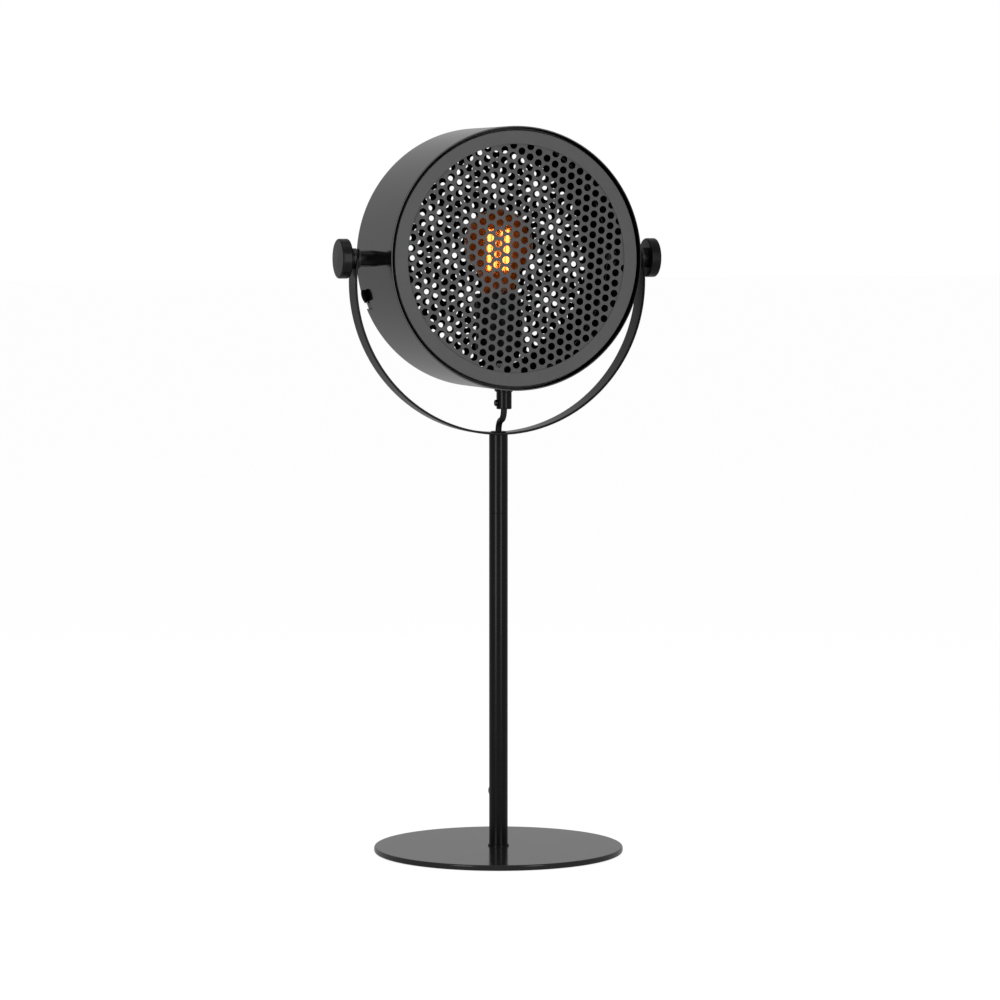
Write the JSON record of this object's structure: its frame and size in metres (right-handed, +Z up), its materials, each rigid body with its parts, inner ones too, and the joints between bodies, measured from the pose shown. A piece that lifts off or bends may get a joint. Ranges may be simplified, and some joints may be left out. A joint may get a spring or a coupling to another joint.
{
  "type": "tabletop searchlight lamp",
  "caption": "Round drum lamp head with perforated faces, held in a C-shaped yoke with clamping knobs on a slim stem and flat round base.",
  "frame": {"origin": "on the table under the middle of the base", "axes": "+Z up along the stem, -Y out of the drum's front face, X along the yoke's pivots"},
  "size_m": [0.2944, 0.22, 0.6401],
  "materials": {
    "black_paint": "semi-gloss powder coat",
    "grille_paint": "semi-gloss powder coat",
    "knob_plastic": "moulded, semi-gloss",
    "holder_plastic": "moulded, glossy",
    "lead_sheath": "smooth sheath",
    "bush_rubber": "matt",
    "pad_foam": "closed-cell foam, matt",
    "zinc_steel": "zinc plated",
    "washer_plastic": "matt",
    "insert_ceramic": "glazed",
    "contact_brass": "plain",
    "cap_nickel": "plated",
    "amber_glass": "clear amber",
    "mount_glass": "clear",
    "filament_glow": "glowing"
  },
  "bodies": {
    "stand": {"base_plate": "black_paint", "base_pad": "pad_foam", "foot_screw": "zinc_steel", "foot_socket": "black_paint", "lower_stem": "black_paint", "stem_connector": "zinc_steel", "upper_stem": "black_paint", "head_plug": "black_paint", "outlet_bush": "bush_rubber", "yoke": "black_paint", "outer_washer_left": "washer_plastic", "outer_washer_right": "washer_plastic", "inner_washer_left": "washer_plastic", "inner_washer_right": "washer_plastic", "lead_in_stem": "lead_sheath", "lead_span": "lead_sheath"},
    "head": {"bracket_screw": "black_paint", "drum_shell": "black_paint", "front_bezel": "black_paint", "front_grille": "grille_paint", "front_nut_1": "zinc_steel", "front_nut_2": "zinc_steel", "front_nut_3": "zinc_steel", "front_retainer": "black_paint", "grip_body": "black_paint", "grip_nut": "zinc_steel", "grip_screw": "black_paint", "holder_body": "holder_plastic", "holder_bracket": "black_paint", "holder_contact": "contact_brass", "holder_dome": "holder_plastic", "holder_insert": "insert_ceramic", "holder_nipple": "zinc_steel", "holder_skirt": "holder_plastic", "holder_thread": "contact_brass", "lead_in_head": "lead_sheath", "nipple_nut": "zinc_steel", "spacer_left": "black_paint", "spacer_right": "black_paint", "stud_left": "zinc_steel", "stud_nut_left": "zinc_steel", "stud_nut_right": "zinc_steel", "stud_right": "zinc_steel"},
    "rear_cover": {"rear_bezel": "black_paint", "rear_grille": "grille_paint", "rear_retainer": "black_paint", "rear_nut_1": "zinc_steel", "rear_nut_2": "zinc_steel", "rear_nut_3": "zinc_steel"},
    "bulb": {"bulb_cap": "cap_nickel", "bulb_glass": "amber_glass", "bulb_mount": "mount_glass", "bulb_filament": "filament_glow"},
    "knob_left_body": {"knob_left": "knob_plastic"},
    "knob_right_body": {"knob_right": "knob_plastic"},
    "cover_screw_1_body": {"cover_screw_1": "black_paint"},
    "cover_screw_2_body": {"cover_screw_2": "black_paint"},
    "cover_screw_3_body": {"cover_screw_3": "black_paint"}
  },
  "joints": [
    {"name": "head_tilt", "type": "hinge", "parent": "stand", "child": "head", "pos_m": [0, 0, 0.5244], "axis": [1, 0, 0], "range_deg": [-25, 25], "deforming": ["lead_span"]},
    {"name": "knob_left_turn", "type": "hinge", "parent": "head", "child": "knob_left_body", "pos_m": [-0.14, 0, 0.5244], "axis": [-1, 0, 0], "range_deg": [0, 360]},
    {"name": "knob_right_turn", "type": "hinge", "parent": "head", "child": "knob_right_body", "pos_m": [0.14, 0, 0.5244], "axis": [1, 0, 0], "range_deg": [0, 360]},
    {"name": "rear_cover_turn", "type": "hinge", "parent": "head", "child": "rear_cover", "pos_m": [0, 0.04, 0.5244], "axis": [0, -1, 0], "range_deg": [0, 5.2]},
    {"name": "bulb_turn", "type": "hinge", "parent": "head", "child": "bulb", "pos_m": [0, 0, 0.48], "axis": [0, 0, 1], "range_deg": [0, 360]},
    {"name": "cover_screw_1_turn", "type": "hinge", "parent": "rear_cover", "child": "cover_screw_1_body", "pos_m": [-0.10987, 0.03605, 0.4929], "axis": [-0.9613, 0, -0.2756], "range_deg": [0, 360]},
    {"name": "cover_screw_2_turn", "type": "hinge", "parent": "rear_cover", "child": "cover_screw_2_body", "pos_m": [0.08222, 0.03605, 0.445], "axis": [0.7193, 0, -0.6947], "range_deg": [0, 360]},
    {"name": "cover_screw_3_turn", "type": "hinge", "parent": "rear_cover", "child": "cover_screw_3_body", "pos_m": [0.02765, 0.03605, 0.63531], "axis": [0.2419, 0, 0.9703], "range_deg": [0, 360]}
  ]
}
